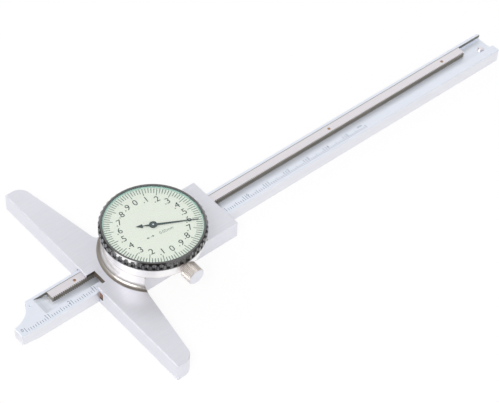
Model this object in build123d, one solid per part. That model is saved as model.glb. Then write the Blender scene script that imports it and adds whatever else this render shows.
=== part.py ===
from build123d import *
from math import acos, atan2, cos, degrees, hypot, pi, radians, sin, sqrt, tan
import os

# Dial depth gauge for 0 to 150 mm, one turn of the pointer for 2 mm. All sizes in millimetres.
# X runs along the beam, away from its tip. Y runs across it, with the scale on the -Y side.
# Z is up, out of the dial. The origin is on the back plane, on the beam's centreline,
# level with the dial's axis.

# Beam
BEAM_LENGTH = 234.7
BEAM_WIDTH = 12.6
BEAM_THICKNESS = 5.5
REST_DEPTH = 33.1  # how far the tip stands out of the measuring face
BEAM_CHAMFER = 0.3
CHANNEL_DEPTH = 2.4
RIM_WIDTH = 1.25  # the narrow wall that backs the rack
LAND_WIDTH = 3.6  # the flat strip that carries the scale
CHANNEL_START = 12.6  # from the tip to where the channel's floor leaves the land
CUTTER_RADIUS = 25.0  # the channel runs out at the tip on this radius
NOSE_WIDTH = 4.8  # width that is left at the tip
HOLLOW_LENGTH = 10.0  # from the tip to where the hollow reaches the rim
HOLLOW_SAG = 1.9  # how deep the hollow bows from a straight cut
DIMPLE_RADIUS = 0.4
DIMPLE_FROM_TIP = 10.0
DIMPLE_Y = 3.2
DIMPLE_DEPTH = 0.3
END_CORNER = 0.8

# Rack, pinned in the channel against the rim
RACK_PITCH = 0.8
RACK_LENGTH = 204.0
RACK_WIDTH = 3.75
RACK_FROM_TIP = 18.4
RACK_BELOW_LAND = 0.05
RACK_CHAMFER = 0.15
PIN_RADIUS = 0.6
PIN_COUNT = 4
PIN_SPACING = 60.7
PIN_FROM_RACK_END = 10.9
PIN_FROM_RIM = 1.85
PIN_GRIP = 1.2  # length of each pin in the beam
PIN_RECESS = 0.2  # the pins end this far below the rack's top
STOP_PIN_RADIUS = 1.2
STOP_PIN_HEIGHT = 0.9
STOP_PIN_FROM_END = 4.1
STOP_PIN_Y = 0.0

# Base body: measuring base, stem and dial boss in one casting
BASE_LENGTH = 100.0
ARM_END_WIDTH = 7.0
ARM_ROOT_WIDTH = 13.2
ARM_CORNER = 4.7
ROOT_FILLET = 3.0
STEM_WIDTH = 25.2
STEM_LENGTH = 58.3  # from the measuring face to the stem's end
PLATE_THICKNESS = 1.3  # of the top over the beam
EDGE_CHAMFER = 0.25
SLIDE_GAP = 0.05
BEAM_LIFT = 0.1  # gap above and below the beam
RELIEF_RADIUS = 0.45
DIAL_FROM_FACE = 26.1
DIAL_Y = -3.5
BOSS_WALL = 5.3  # round the gear train's cavity
BOSS_FILLET = 2.5
BOSS_HEIGHT = 5.5
CAVITY_WALL = 1.2

# Reading window in the top plate
WINDOW_DEPTH = 3.6
WINDOW_WIDTH = 6.3
WINDOW_BEVEL = 0.7

# Gib and its spring, in a pocket on the beam's -Y side
GIB_THICKNESS = 1.1
GIB_HEIGHT = 3.2
GIB_LENGTH = 54.0
GIB_RECESS = 1.0  # from the measuring face to the gib's end
GIB_ABOVE_MIDDLE = 0.75  # how far the gib sits above the middle of the beam's side
GIB_GAP = 0.1
GIB_SPRING_THICKNESS = 0.2
GIB_SPRING_BOW = 0.45
GIB_SPRING_INSET = 2.0  # the spring is this much shorter than the gib at each end
GIB_POCKET_GAP = 0.1  # above and below the gib

# Back cover
COVER_THICKNESS = 0.5
COVER_WIDTH = 19.4
COVER_GAP = 0.05
COVER_SCREW_Y = 8.0
COVER_SCREW_FROM_ENDS = 6.0
COVER_SCREW_RADIUS = 0.6
COVER_SCREW_HEAD = 1.1
COVER_SCREW_LENGTH = 2.0

# Dial case, bezel and glass
CASE_WALL = 1.5
CASE_HEIGHT = 5.3
CASE_FLOOR = 0.8
CASE_HOLE = 2.5
CASE_SCREW_ANGLES = (80, 152, 208, 332)
CASE_SCREW_RADIUS = 0.6
CASE_SCREW_HEAD = 0.95
CASE_SCREW_HEAD_HEIGHT = 0.6
CASE_SCREW_LENGTH = 3.0
CASE_SCREW_GAP = 0.25  # from the screws' heads to the bezel's sleeve
BEZEL_OVERHANG = 1.4  # beyond the case
BEZEL_HEIGHT = 3.1
BEZEL_GAP = 0.1  # between the case's top and the bezel
BEZEL_LEDGE = 1.1  # height of the bezel's web, which carries the dial plate
BEZEL_CHAMFER = 1.0
BEZEL_LIP = 0.2  # the bezel's top stands this much above the glass
FLUTES = 60
FLUTE_RADIUS = 0.8
FLUTE_DEPTH = 0.45
SLEEVE_WALL = 0.95
SLEEVE_BOTTOM_GAP = 0.2
SLEEVE_FIT = 0.05
GROOVE_WIDTH = 1.4
GROOVE_DEPTH = 0.35
BEZEL_RIM = 1.5  # from the dial plate's edge to the bezel's outside
DIAL_THICKNESS = 0.4
DIAL_HOLE = 1.0
GLASS_THICKNESS = 0.6
GLASS_GAP = 0.05
SEAL_WIDTH = 0.7

# Bezel clamp screw, radial at the case's -Y side
CLAMP_HEIGHT = 1.9  # axis above the case's bottom
CLAMP_HEAD_RADIUS = 3.3
CLAMP_HEAD_LENGTH = 5.8
CLAMP_HEAD_GAP = 0.6  # from the case wall to the head
CLAMP_INNER_CHAMFER = 0.9
CLAMP_OUTER_CHAMFER = 0.35
CLAMP_NECK_RADIUS = 1.2
CLAMP_TIP_RADIUS = 0.6
CLAMP_TIP_CLEAR = 0.1  # from the tip to the groove's floor when slack
KNURLS = 40
KNURL_DEPTH = 0.18

# Gear train
PINION_TEETH = 10
WHEEL_TEETH = 48
CENTRE_TEETH = 12
WHEEL_MODULE = 0.25
PRESSURE_ANGLE = 20.0
ADDENDUM = 0.92  # in modules
DEDENDUM = 1.25
TOOTH_PLAY = 0.035  # taken off each flank
ROOT_NARROWING = 0.85  # a tooth's width below the base circle, as a share of that on it
PINION_HEIGHT = 2.0
PINION_FLOOR_GAP = 0.2
ARBOR_RADIUS = 0.6
ARBOR_SEAT_RADIUS = 1.0
PIVOT_RADIUS = 0.4
PIVOT_FIT = 0.03
PRESS_GAP = 0.01
LOWER_BUSH_RADIUS = 2.0
CENTRE_BUSH_RADIUS = 1.5
UPPER_BUSH_RADIUS = 0.9
BUSH_STAND = 0.3  # how far a lower bush stands above the body
COLLET_RADIUS = 1.8
COLLET_HEIGHT = 0.5
WHEEL_THICKNESS = 0.6
BACKLASH_WHEEL_THICKNESS = 0.5
WHEEL_GAP = 0.05
WHEEL_CLEARANCE = 0.5  # from the wheels' teeth to the cavity's wall
WHEEL_SPOKES = 4
HUB_RADIUS = 2.2
WHEEL_RIM = 1.1
SPOKE_WIDTH = 1.2
HAIRPIN_RADIUS = 3.4
HAIRPIN_WIRE = 0.3
HAIRPIN_SWEEP = 290.0
BRIDGE_HEIGHT = 3.9  # from the body's top to the bridge
BRIDGE_THICKNESS = 0.8
BRIDGE_MARGIN = 1.5
PILLAR_RADIUS = 1.2
PILLAR_BEYOND_ARBOR = 3.5  # the pillars' circle lies this far outside the rack arbor
PILLAR_TO_WALL = 0.6
PILLAR_ANGLES = (78, 198, 339)
BRIDGE_SCREW_RADIUS = 0.5
BRIDGE_SCREW_HEAD = 1.0
BRIDGE_SCREW_HEAD_HEIGHT = 0.6
BRIDGE_SCREW_GRIP = 1.8

# Pointer
POINTER_ANGLE = -28.3  # at rest, from +X
POINTER_TIP_GAP = 1.0  # from the needle's tip to the seal ring
POINTER_TAIL = 6.2
POINTER_WIDTH = 0.8
POINTER_TIP_WIDTH = 0.22
POINTER_THICKNESS = 0.15
POINTER_ABOVE_DIAL = 0.3
POINTER_HUB_RADIUS = 1.4
POINTER_HUB_HEIGHT = 0.4
POINTER_DISC_RADIUS = 1.1  # round middle of the needle, that the arbor goes through
ARROW_LENGTH = 2.4
ARROW_WIDTH = 1.3

# Places along the beam
FACE_X = -DIAL_FROM_FACE
TIP_X = FACE_X - REST_DEPTH
BEAM_END_X = TIP_X + BEAM_LENGTH
STEM_END_X = FACE_X + STEM_LENGTH
RACK_X = TIP_X + RACK_FROM_TIP
RACK_END_X = RACK_X + RACK_LENGTH

# Heights
BEAM_BOTTOM = COVER_THICKNESS + BEAM_LIFT
LAND_Z = BEAM_BOTTOM + BEAM_THICKNESS
FLOOR_Z = LAND_Z - CHANNEL_DEPTH
SLOT_TOP = LAND_Z + BEAM_LIFT
BODY_TOP = SLOT_TOP + PLATE_THICKNESS
CASE_Z = BODY_TOP + BOSS_HEIGHT
CASE_TOP = CASE_Z + CASE_HEIGHT
BEZEL_Z = CASE_TOP + BEZEL_GAP
BEZEL_TOP = BEZEL_Z + BEZEL_HEIGHT
DIAL_Z = BEZEL_Z + BEZEL_LEDGE
DIAL_FACE = DIAL_Z + DIAL_THICKNESS
GLASS_TOP = BEZEL_TOP - BEZEL_LIP
GLASS_Z = GLASS_TOP - GLASS_THICKNESS
CLAMP_Z = CASE_Z + CLAMP_HEIGHT
BRIDGE_Z = BODY_TOP + BRIDGE_HEIGHT
BRIDGE_TOP = BRIDGE_Z + BRIDGE_THICKNESS

# Places across the beam
RIM_Y = BEAM_WIDTH / 2 - RIM_WIDTH
LAND_Y = -BEAM_WIDTH / 2 + LAND_WIDTH
SLOT_Y = BEAM_WIDTH / 2 + SLIDE_GAP
GIB_POCKET_Y = -SLOT_Y - GIB_THICKNESS - GIB_SPRING_BOW - GIB_SPRING_THICKNESS - GIB_GAP
GIB_Z = BEAM_BOTTOM + (BEAM_THICKNESS - GIB_HEIGHT) / 2 + GIB_ABOVE_MIDDLE
WINDOW_Y = RIM_Y - RACK_WIDTH
DIAL = (0.0, DIAL_Y)

# The train's geometry follows from the rack
RACK_MODULE = RACK_PITCH / pi
PINION_PITCH_RADIUS = PINION_TEETH * RACK_MODULE / 2
PINION_Y = WINDOW_Y + ADDENDUM * RACK_MODULE - PINION_PITCH_RADIUS
CENTRE_DISTANCE = (WHEEL_TEETH + CENTRE_TEETH) * WHEEL_MODULE / 2
PINION_X = sqrt(CENTRE_DISTANCE**2 - (PINION_Y - DIAL_Y) ** 2)
RACK_ARBOR = (PINION_X, PINION_Y)
PINION_Z = FLOOR_Z + PINION_FLOOR_GAP
WHEEL_TIP_RADIUS = (WHEEL_TEETH / 2 + ADDENDUM) * WHEEL_MODULE
COLLET_Z = BODY_TOP + BUSH_STAND + WHEEL_GAP * 2
WHEEL_Z = COLLET_Z + COLLET_HEIGHT
BACKLASH_Z = WHEEL_Z + WHEEL_THICKNESS + WHEEL_GAP
HAIRPIN_Z = BACKLASH_Z + BACKLASH_WHEEL_THICKNESS

# The boss goes round the train, and the case, bezel and dial follow the boss
PILLAR_CIRCLE = CENTRE_DISTANCE + PILLAR_BEYOND_ARBOR
CAVITY_RADIUS = PILLAR_CIRCLE + PILLAR_RADIUS + PILLAR_TO_WALL
BOSS_RADIUS = CAVITY_RADIUS + BOSS_WALL
CASE_INNER = BOSS_RADIUS - CASE_WALL
SLEEVE_RADIUS = CASE_INNER - SLEEVE_FIT
SLEEVE_Z = CASE_Z + CASE_FLOOR + SLEEVE_BOTTOM_GAP
CASE_SCREW_CIRCLE = SLEEVE_RADIUS - SLEEVE_WALL - CASE_SCREW_GAP - CASE_SCREW_HEAD
BEZEL_RADIUS = BOSS_RADIUS + BEZEL_OVERHANG
DIAL_RADIUS = BEZEL_RADIUS - BEZEL_RIM
POINTER_LENGTH = DIAL_RADIUS - SEAL_WIDTH - POINTER_TIP_GAP


def block(x0, x1, y0, y1, z0, z1):
    """Box between two corners."""
    centre = Pos((x0 + x1) / 2, (y0 + y1) / 2, (z0 + z1) / 2)
    return centre * Box(x1 - x0, y1 - y0, z1 - z0)


def post(at, radius, z0, z1):
    """Upright cylinder at a place in plan."""
    return Pos(at[0], at[1], (z0 + z1) / 2) * Cylinder(radius, z1 - z0)


def turned(points, at=(0.0, 0.0)):
    """Solid turned about an upright axis from (radius, height) points."""
    outline = make_face(Plane.XZ * Polyline(*points, close=True))
    return Pos(at[0], at[1], 0) * revolve(outline, Axis.Z)


def around(at, radius, angle):
    """Place on a circle round another place."""
    return (at[0] + radius * cos(radians(angle)), at[1] + radius * sin(radians(angle)))


def screw(at, radius, head_radius, z_seat, head_height, grip):
    """Cheese-head screw whose head sits on z_seat and whose shank points down."""
    head = post(at, head_radius, z_seat, z_seat + head_height)
    slot = Pos(at[0], at[1], z_seat + head_height) * Box(2 * head_radius, head_radius / 4, head_height / 2)
    return head + post(at, radius, z_seat - grip, z_seat) - slot


# Beam group


def beam():
    half = BEAM_WIDTH / 2
    nose_y = -half + NOSE_WIDTH
    hollow_x = TIP_X + HOLLOW_LENGTH
    start, end = (TIP_X, nose_y), (hollow_x, half)
    chord = hypot(end[0] - start[0], end[1] - start[1])
    inward = ((end[1] - start[1]) / chord, -(end[0] - start[0]) / chord)
    middle = tuple((a + b) / 2 + HOLLOW_SAG * n for a, b, n in zip(start, end, inward))
    outline = make_face(
        Polyline(end, (BEAM_END_X, half), (BEAM_END_X, -half), (TIP_X, -half), start)
        + ThreePointArc(start, middle, end)
    )
    outline = fillet(outline.vertices().group_by(Axis.X)[-1], END_CORNER)
    solid = Pos(0, 0, BEAM_BOTTOM) * extrude(outline, BEAM_THICKNESS)
    long_edges = solid.edges().filter_by(Axis.X)
    solid = chamfer(long_edges.group_by(Axis.Z)[-1], BEAM_CHAMFER)
    tip_edges = solid.edges().filter_by(Axis.Y).group_by(Axis.X)[0]
    solid = chamfer(tip_edges, BEAM_CHAMFER)

    # The channel rises to the land on the cutter's radius
    ramp = sqrt(CUTTER_RADIUS**2 - (CUTTER_RADIUS - CHANNEL_DEPTH) ** 2)
    ramp_start = (TIP_X + CHANNEL_START, LAND_Z)
    ramp_end = (ramp_start[0] + ramp, FLOOR_Z)
    turn = acos(1 - CHANNEL_DEPTH / CUTTER_RADIUS) / 2
    ramp_middle = (
        ramp_end[0] - CUTTER_RADIUS * sin(turn),
        FLOOR_Z + CUTTER_RADIUS * (1 - cos(turn)),
    )
    past = BEAM_END_X + END_CORNER
    profile = make_face(
        Plane.XZ
        * (
            Polyline(ramp_end, (past, FLOOR_Z), (past, LAND_Z + 1), (ramp_start[0], LAND_Z + 1), ramp_start)
            + ThreePointArc(ramp_start, ramp_middle, ramp_end)
        )
    )
    solid -= Pos(0, RIM_Y, 0) * extrude(profile, RIM_Y - LAND_Y)
    solid -= block(RACK_X, ramp_end[0], WINDOW_Y, RIM_Y, FLOOR_Z, LAND_Z + 1)
    for x in pin_places():
        solid -= post((x, pin_y()), PIN_RADIUS + PRESS_GAP, FLOOR_Z - PIN_GRIP, FLOOR_Z)
    stop = (BEAM_END_X - STOP_PIN_FROM_END, STOP_PIN_Y)
    solid -= post(stop, STOP_PIN_RADIUS + PRESS_GAP, FLOOR_Z - PIN_GRIP, FLOOR_Z)
    dimple = (TIP_X + DIMPLE_FROM_TIP, DIMPLE_Y)
    return solid - post(dimple, DIMPLE_RADIUS, LAND_Z - DIMPLE_DEPTH, LAND_Z + 1)


def pin_places():
    return [RACK_X + PIN_FROM_RACK_END + i * PIN_SPACING for i in range(PIN_COUNT)]


def pin_y():
    return RIM_Y - PIN_FROM_RIM


def rack_top():
    return LAND_Z - RACK_BELOW_LAND


def rack():
    tip_y = WINDOW_Y
    pitch_y = tip_y + ADDENDUM * RACK_MODULE
    root_y = pitch_y + DEDENDUM * RACK_MODULE
    slope = tan(radians(PRESSURE_ANGLE))
    half = RACK_PITCH / 4 - TOOTH_PLAY
    half_tip = half - (pitch_y - tip_y) * slope
    half_root = half + (root_y - pitch_y) * slope
    points = [(RACK_X, RIM_Y), (RACK_X, root_y)]
    for i in range(int(RACK_LENGTH / RACK_PITCH)):
        x = rack_tooth_x(i)
        points += [(x - half_root, root_y), (x - half_tip, tip_y)]
        points += [(x + half_tip, tip_y), (x + half_root, root_y)]
    points += [(RACK_END_X, root_y), (RACK_END_X, RIM_Y)]
    height = rack_top() - FLOOR_Z
    solid = Pos(0, 0, FLOOR_Z) * extrude(make_face(Polyline(*points, close=True)), height)
    back_edge = solid.edges().filter_by(Axis.X).group_by(Axis.Y)[-1].sort_by(Axis.Z)[-1]
    solid = chamfer(back_edge, RACK_CHAMFER)
    for x in pin_places():
        solid -= post((x, pin_y()), PIN_RADIUS + PRESS_GAP, FLOOR_Z, LAND_Z)
    return solid


def rack_tooth_x(i):
    return RACK_X + RACK_PITCH * (i + 0.5)


def rack_pins():
    top = rack_top() - PIN_RECESS
    return [post((x, pin_y()), PIN_RADIUS, FLOOR_Z - PIN_GRIP, top) for x in pin_places()]


def stop_pin():
    at = (BEAM_END_X - STOP_PIN_FROM_END, STOP_PIN_Y)
    pin = post(at, STOP_PIN_RADIUS, FLOOR_Z - PIN_GRIP, FLOOR_Z + STOP_PIN_HEIGHT)
    return chamfer(pin.edges().group_by(Axis.Z)[-1], STOP_PIN_RADIUS / 4)


# Body group


def plan_outline():
    """T-shaped outline of the base and stem, seen from above."""
    half = BASE_LENGTH / 2
    stem = STEM_WIDTH / 2
    side = [
        (FACE_X, half),
        (FACE_X + ARM_END_WIDTH, half),
        (FACE_X + ARM_ROOT_WIDTH, stem),
        (STEM_END_X, stem),
    ]
    mirrored = [(x, -y) for x, y in reversed(side)]
    outline = make_face(Polyline(*side, *mirrored, close=True))
    corners = outline.vertices().filter_by(lambda v: abs(v.X - FACE_X - ARM_END_WIDTH) < 0.01)
    outline = fillet(corners, ARM_CORNER)
    roots = outline.vertices().filter_by(lambda v: abs(v.X - FACE_X - ARM_ROOT_WIDTH) < 0.01)
    return fillet(roots, ROOT_FILLET)


def base_body():
    outline = plan_outline()
    solid = extrude(outline, BODY_TOP)
    solid = chamfer(solid.faces().sort_by(Axis.Z)[-1].edges(), EDGE_CHAMFER)
    solid += boss() & extrude(outline, CASE_Z)

    # Beam slot, open at the back, with relieved corners
    solid -= block(FACE_X, STEM_END_X, -SLOT_Y, SLOT_Y, 0, SLOT_TOP)
    along = Rot(0, 90, 0) * Cylinder(RELIEF_RADIUS, STEM_LENGTH)
    for side in (-1, 1):
        solid -= Pos((FACE_X + STEM_END_X) / 2, side * SLOT_Y, SLOT_TOP - RELIEF_RADIUS) * along
    pocket_low = GIB_Z - GIB_POCKET_GAP
    pocket_high = GIB_Z + GIB_HEIGHT + GIB_POCKET_GAP
    solid -= block(FACE_X, STEM_END_X, GIB_POCKET_Y, -SLOT_Y, pocket_low, pocket_high)
    cover_half = COVER_WIDTH / 2 + COVER_GAP
    solid -= block(FACE_X, STEM_END_X, -cover_half, cover_half, 0, COVER_THICKNESS)
    for at in cover_screw_places():
        solid -= post(at, COVER_SCREW_RADIUS + PRESS_GAP, 0, COVER_SCREW_LENGTH)

    solid -= window_cut()
    solid -= cavity()
    solid -= post(RACK_ARBOR, LOWER_BUSH_RADIUS + PRESS_GAP, SLOT_TOP, BODY_TOP)
    solid -= post(DIAL, CENTRE_BUSH_RADIUS + PRESS_GAP, SLOT_TOP, BODY_TOP)
    for at in case_screw_places():
        solid -= post(at, CASE_SCREW_RADIUS + PRESS_GAP, CASE_Z - CASE_SCREW_LENGTH, CASE_Z)
    return solid


def boss():
    """Round boss under the dial case, flared on to the base."""
    foot = BOSS_RADIUS + BOSS_FILLET
    bend = BOSS_FILLET * (1 - sqrt(0.5))
    profile = make_face(
        Plane.XZ
        * (
            Polyline((foot, BODY_TOP), (foot, SLOT_TOP), (0, SLOT_TOP), (0, CASE_Z), (BOSS_RADIUS, CASE_Z))
            + Line((BOSS_RADIUS, CASE_Z), (BOSS_RADIUS, BODY_TOP + BOSS_FILLET))
            + ThreePointArc(
                (BOSS_RADIUS, BODY_TOP + BOSS_FILLET),
                (BOSS_RADIUS + bend, BODY_TOP + bend),
                (foot, BODY_TOP),
            )
        )
    )
    return Pos(DIAL[0], DIAL[1], 0) * revolve(profile, Axis.Z)


def cavity():
    """Room for the gear train inside the boss."""
    room = post(DIAL, CAVITY_RADIUS, BODY_TOP, CASE_Z)
    limit = STEM_WIDTH / 2 - CAVITY_WALL
    room &= block(-BOSS_RADIUS, BOSS_RADIUS, -limit, limit, BODY_TOP, CASE_Z)
    return room + post(RACK_ARBOR, WHEEL_TIP_RADIUS + WHEEL_CLEARANCE, BODY_TOP, CASE_Z)


def window_cut():
    """Notch in the top plate over the channel, with a bevelled reading edge."""
    back = FACE_X + WINDOW_DEPTH
    edge = back - WINDOW_BEVEL
    profile = make_face(
        Plane.XZ
        * Polyline(
            (FACE_X, SLOT_TOP),
            (edge, SLOT_TOP),
            (back, BODY_TOP),
            (FACE_X, BODY_TOP),
            close=True,
        )
    )
    return Pos(0, WINDOW_Y, 0) * extrude(profile, WINDOW_WIDTH)


def gib_strip():
    x = FACE_X + GIB_RECESS
    y = -SLOT_Y - GIB_THICKNESS
    strip = block(x, x + GIB_LENGTH, y, -SLOT_Y, GIB_Z, GIB_Z + GIB_HEIGHT)
    return chamfer(strip.edges().filter_by(Axis.X), GIB_THICKNESS / 5)


def gib_spring():
    """Bowed strip that pushes the gib against the beam."""
    x0 = FACE_X + GIB_RECESS + GIB_SPRING_INSET
    x1 = FACE_X + GIB_RECESS + GIB_LENGTH - GIB_SPRING_INSET
    gib_y = -SLOT_Y - GIB_THICKNESS - GIB_SPRING_THICKNESS
    low_y = gib_y - GIB_SPRING_BOW
    middle = (x0 + x1) / 2
    t = GIB_SPRING_THICKNESS
    strip = make_face(
        ThreePointArc((x0, gib_y), (middle, low_y), (x1, gib_y))
        + Line((x1, gib_y), (x1, gib_y + t))
        + ThreePointArc((x1, gib_y + t), (middle, low_y + t), (x0, gib_y + t))
        + Line((x0, gib_y + t), (x0, gib_y))
    )
    inset = GIB_HEIGHT / 6
    return Pos(0, 0, GIB_Z + inset) * extrude(strip, GIB_HEIGHT - 2 * inset)


def cover_screw_places():
    ends = (FACE_X + COVER_SCREW_FROM_ENDS, STEM_END_X - COVER_SCREW_FROM_ENDS)
    return [(x, y) for x in ends for y in (-COVER_SCREW_Y, COVER_SCREW_Y)]


def back_cover():
    half = COVER_WIDTH / 2
    plate = block(FACE_X, STEM_END_X, -half, half, 0, COVER_THICKNESS)
    for at in cover_screw_places():
        plate -= turned(countersink(PRESS_GAP), at)
    return plate


def countersink(gap):
    """Half section of a flat screw head as deep as the cover."""
    return [
        (0, 0),
        (COVER_SCREW_HEAD + gap, 0),
        (COVER_SCREW_RADIUS + gap, COVER_THICKNESS),
        (0, COVER_THICKNESS),
    ]


def cover_screws():
    screws = []
    for at in cover_screw_places():
        slot = Pos(at[0], at[1], 0) * Box(2 * COVER_SCREW_HEAD, COVER_SCREW_HEAD / 4, COVER_THICKNESS)
        shank = post(at, COVER_SCREW_RADIUS, COVER_THICKNESS, COVER_SCREW_LENGTH)
        screws.append(turned(countersink(0), at) + shank - slot)
    return screws


# Dial case group


def case_screw_places():
    return [around(DIAL, CASE_SCREW_CIRCLE, a) for a in CASE_SCREW_ANGLES]


def dial_case():
    case = post(DIAL, BOSS_RADIUS, CASE_Z, CASE_TOP)
    case -= post(DIAL, CASE_INNER, CASE_Z + CASE_FLOOR, CASE_TOP)
    case -= post(DIAL, CASE_HOLE, CASE_Z, CASE_TOP)
    for at in case_screw_places():
        case -= post(at, CASE_SCREW_RADIUS + PRESS_GAP, CASE_Z, CASE_TOP)
    return case - clamp_bar(CLAMP_NECK_RADIUS + PIVOT_FIT, CASE_INNER - 1, BOSS_RADIUS + 1)


def case_screws():
    seat = CASE_Z + CASE_FLOOR
    grip = CASE_FLOOR + CASE_SCREW_LENGTH
    return [
        screw(at, CASE_SCREW_RADIUS, CASE_SCREW_HEAD, seat, CASE_SCREW_HEAD_HEIGHT, grip)
        for at in case_screw_places()
    ]


def clamp_bar(radius, r0, r1):
    """Cylinder on the clamp screw's axis, between two distances from the dial's axis."""
    bar = Rot(90, 0, 0) * Cylinder(radius, r1 - r0)
    return Pos(DIAL[0], DIAL[1] - (r0 + r1) / 2, CLAMP_Z) * bar


def clamp_screw():
    inner = BOSS_RADIUS + CLAMP_HEAD_GAP
    step = 360 / KNURLS
    root = CLAMP_HEAD_RADIUS - KNURL_DEPTH
    knurl = [around((0, 0), CLAMP_HEAD_RADIUS if i % 2 else root, i * step / 2) for i in range(2 * KNURLS)]
    head = Pos(DIAL[0], DIAL[1] - inner, CLAMP_Z) * extrude(
        Plane.XZ * make_face(Polyline(*knurl, close=True)), CLAMP_HEAD_LENGTH
    )
    envelope = [
        (0, 0),
        (CLAMP_HEAD_RADIUS - CLAMP_INNER_CHAMFER, 0),
        (CLAMP_HEAD_RADIUS + PRESS_GAP, CLAMP_INNER_CHAMFER),
        (CLAMP_HEAD_RADIUS + PRESS_GAP, CLAMP_HEAD_LENGTH - CLAMP_OUTER_CHAMFER),
        (CLAMP_HEAD_RADIUS - CLAMP_OUTER_CHAMFER, CLAMP_HEAD_LENGTH),
        (0, CLAMP_HEAD_LENGTH),
    ]
    head &= Pos(DIAL[0], DIAL[1] - inner, CLAMP_Z) * Rot(90, 0, 0) * turned(envelope)
    tip_start = SLEEVE_RADIUS - GROOVE_DEPTH + CLAMP_TIP_CLEAR
    neck = clamp_bar(CLAMP_NECK_RADIUS, CASE_INNER + CLAMP_TIP_CLEAR, inner)
    return head + neck + clamp_bar(CLAMP_TIP_RADIUS, tip_start, inner)


def bezel():
    inner = SLEEVE_RADIUS - SLEEVE_WALL
    seat = DIAL_RADIUS + GLASS_GAP
    ring = turned(
        [
            (inner, SLEEVE_Z),
            (SLEEVE_RADIUS, SLEEVE_Z),
            (SLEEVE_RADIUS, CLAMP_Z - GROOVE_WIDTH / 2),
            (SLEEVE_RADIUS - GROOVE_DEPTH, CLAMP_Z - GROOVE_WIDTH / 2),
            (SLEEVE_RADIUS - GROOVE_DEPTH, CLAMP_Z + GROOVE_WIDTH / 2),
            (SLEEVE_RADIUS, CLAMP_Z + GROOVE_WIDTH / 2),
            (SLEEVE_RADIUS, BEZEL_Z),
            (BEZEL_RADIUS, BEZEL_Z),
            (BEZEL_RADIUS, BEZEL_TOP - BEZEL_CHAMFER),
            (BEZEL_RADIUS - BEZEL_CHAMFER, BEZEL_TOP),
            (seat, BEZEL_TOP),
            (seat, DIAL_Z),
            (inner, DIAL_Z),
        ],
        DIAL,
    )
    flute_circle = BEZEL_RADIUS + FLUTE_RADIUS - FLUTE_DEPTH
    flutes = [
        post(around(DIAL, flute_circle, i * 360 / FLUTES), FLUTE_RADIUS, BEZEL_Z, BEZEL_TOP)
        for i in range(FLUTES)
    ]
    return ring - flutes


def dial_plate():
    return post(DIAL, DIAL_RADIUS, DIAL_Z, DIAL_FACE) - post(DIAL, DIAL_HOLE, DIAL_Z, DIAL_FACE)


def glass_seal():
    ring = post(DIAL, DIAL_RADIUS, DIAL_FACE, GLASS_Z)
    return ring - post(DIAL, DIAL_RADIUS - SEAL_WIDTH, DIAL_FACE, GLASS_Z)


def crystal():
    return post(DIAL, DIAL_RADIUS, GLASS_Z, GLASS_TOP)


# Gear train


def gear_face(teeth, module, turn):
    """Plan of a spur gear with one tooth centred on the angle turn."""
    pitch = teeth * module / 2
    base = pitch * cos(radians(PRESSURE_ANGLE))
    tip = pitch + ADDENDUM * module
    root = pitch - DEDENDUM * module

    def half_angle(r):
        pressure = acos(min(1.0, base / r))
        spread = tan(pressure) - pressure
        lead = tan(radians(PRESSURE_ANGLE)) - radians(PRESSURE_ANGLE)
        return degrees(pi / (2 * teeth) + lead - spread - TOOTH_PLAY / pitch)

    foot = max(root, base)
    flank = [(r, half_angle(r)) for r in (foot, pitch, tip)]
    if root < base:
        flank.insert(0, (root, ROOT_NARROWING * half_angle(base)))
    points = []
    for i in range(teeth):
        centre = turn + i * 360 / teeth
        points += [around((0, 0), r, centre - a) for r, a in flank]
        points += [around((0, 0), r, centre + a) for r, a in reversed(flank)]
    return make_face(Polyline(*points, close=True))


def gear(at, teeth, module, turn, z0, z1):
    return Pos(at[0], at[1], z0) * extrude(gear_face(teeth, module, turn), z1 - z0)


def line_of_centres():
    """Angle from the rack arbor to the centre arbor."""
    return degrees(atan2(DIAL_Y - PINION_Y, -PINION_X))


def pinion_turn():
    """Turns the rack pinion so that a gap meets the nearest rack tooth."""
    nearest = rack_tooth_x(round((PINION_X - RACK_X) / RACK_PITCH - 0.5))
    gap = 90 - degrees((nearest - PINION_X) / PINION_PITCH_RADIUS)
    return gap + 180 / PINION_TEETH


def rack_arbor():
    top = PINION_Z + PINION_HEIGHT
    arbor = gear(RACK_ARBOR, PINION_TEETH, RACK_MODULE, pinion_turn(), PINION_Z, top)
    arbor += post(RACK_ARBOR, ARBOR_RADIUS, PINION_Z, COLLET_Z)
    arbor += post(RACK_ARBOR, ARBOR_SEAT_RADIUS, COLLET_Z - WHEEL_GAP, BRIDGE_Z - 2 * WHEEL_GAP)
    return arbor + post(RACK_ARBOR, PIVOT_RADIUS, PINION_Z, BRIDGE_TOP)


def wheel(z0, z1):
    """Spoked wheel that meshes with the centre pinion."""
    disc = gear(RACK_ARBOR, WHEEL_TEETH, WHEEL_MODULE, line_of_centres(), z0, z1)
    rim = WHEEL_TEETH * WHEEL_MODULE / 2 - DEDENDUM * WHEEL_MODULE - WHEEL_RIM
    openings = post(RACK_ARBOR, rim, z0, z1) - post(RACK_ARBOR, HUB_RADIUS, z0, z1)
    for i in range(WHEEL_SPOKES // 2):
        spoke = Pos(RACK_ARBOR[0], RACK_ARBOR[1], (z0 + z1) / 2) * Rot(0, 0, i * 360 / WHEEL_SPOKES)
        openings -= spoke * Box(2 * rim + 1, SPOKE_WIDTH, z1 - z0)
    return disc - openings - post(RACK_ARBOR, ARBOR_SEAT_RADIUS + PRESS_GAP, z0, z1)


def drive_wheel():
    return wheel(WHEEL_Z, WHEEL_Z + WHEEL_THICKNESS)


def backlash_wheel():
    return wheel(BACKLASH_Z, BACKLASH_Z + BACKLASH_WHEEL_THICKNESS)


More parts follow.
